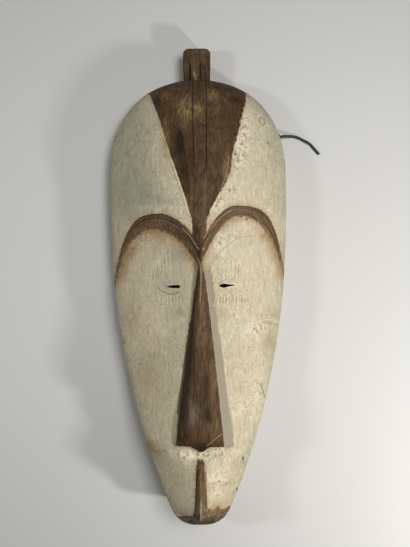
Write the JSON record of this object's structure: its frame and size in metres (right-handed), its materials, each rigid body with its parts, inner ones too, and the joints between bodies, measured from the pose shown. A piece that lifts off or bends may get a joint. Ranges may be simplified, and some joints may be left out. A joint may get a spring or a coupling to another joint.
{
  "type": "carved wooden face mask",
  "caption": "Long carved wooden face mask with a high forehead, arched brows, long flat nose, pointed chin and a knob on the crown, hollow at the back, with a hanging cord.",
  "frame": {"origin": "middle of the floor under the mask, in the plane of its flat back rim", "axes": "+X across the face, +Y from the chin to the knob on the crown, +Z out of the face"},
  "size_m": [0.2589, 0.56, 0.0923],
  "materials": {
    "whitened_wood": "matt white clay rubbed over light wood, with brown stained bare wood on the forehead, brows, nose, mouth line and knob",
    "black_cord": "matt black twisted cord"
  },
  "bodies": {
    "root": {"mask": "whitened_wood", "hanging_cord": "black_cord", "left_knot": "black_cord", "right_knot": "black_cord", "cord_tail": "black_cord"}
  },
  "joints": []
}
